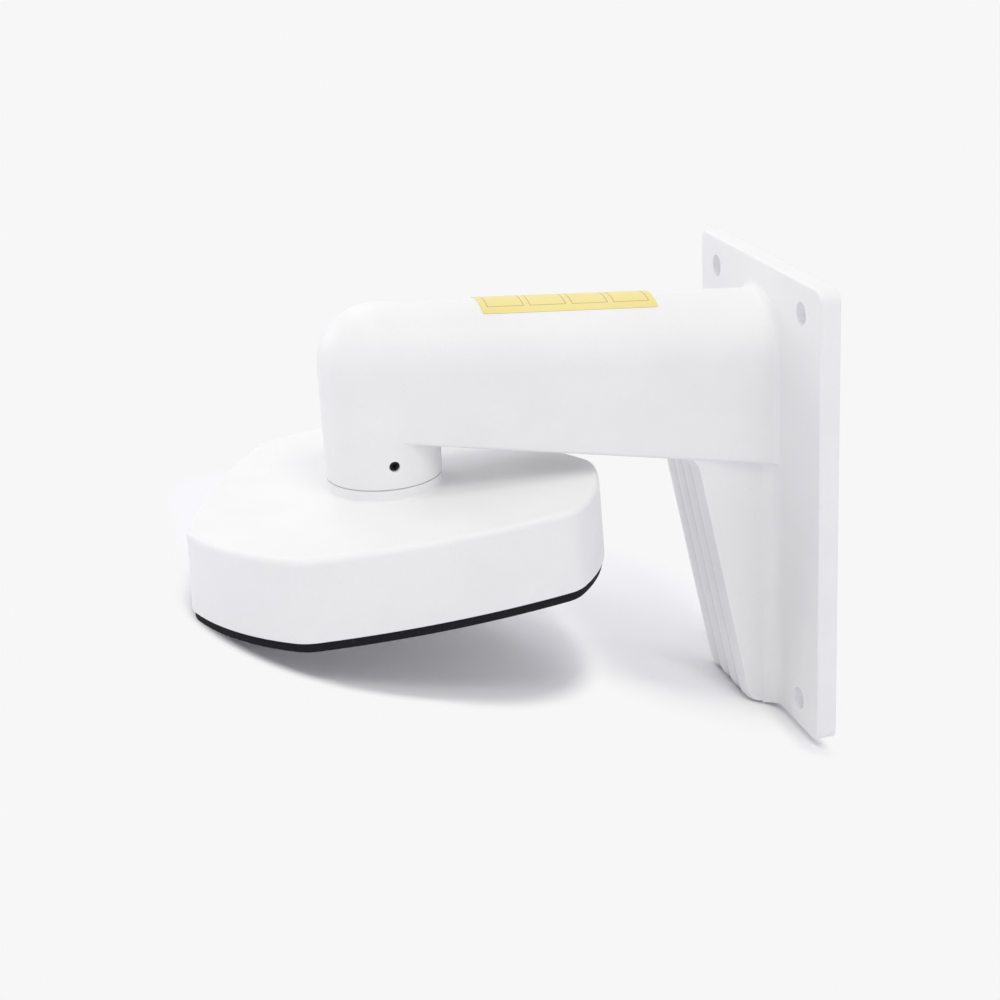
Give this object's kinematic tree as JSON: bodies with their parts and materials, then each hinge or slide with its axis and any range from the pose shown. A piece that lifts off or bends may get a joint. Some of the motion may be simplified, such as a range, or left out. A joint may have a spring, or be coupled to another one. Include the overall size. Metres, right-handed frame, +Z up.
{
  "type": "camera wall bracket",
  "caption": "Hollow cast wall arm with a screwed-on adapter cap for hanging a dome camera; the cable runs inside the arm.",
  "frame": {"origin": "centre of the wall screw pattern on the wall plate's back face, which lies on the wall", "axes": "+Z up, arm along -Y away from the wall, X along the plate's width"},
  "size_m": [0.156, 0.244, 0.1844],
  "materials": {
    "arm_paint": "fine powder coat",
    "cap_paint": "fine powder coat",
    "gasket_rubber": "matt",
    "screw_steel": "blackened",
    "label_film": "satin film"
  },
  "bodies": {
    "root": {"arm_casting": "arm_paint", "adapter_cap": "cap_paint", "cap_gasket": "gasket_rubber", "set_screw": "screw_steel", "label": "label_film"}
  },
  "joints": []
}
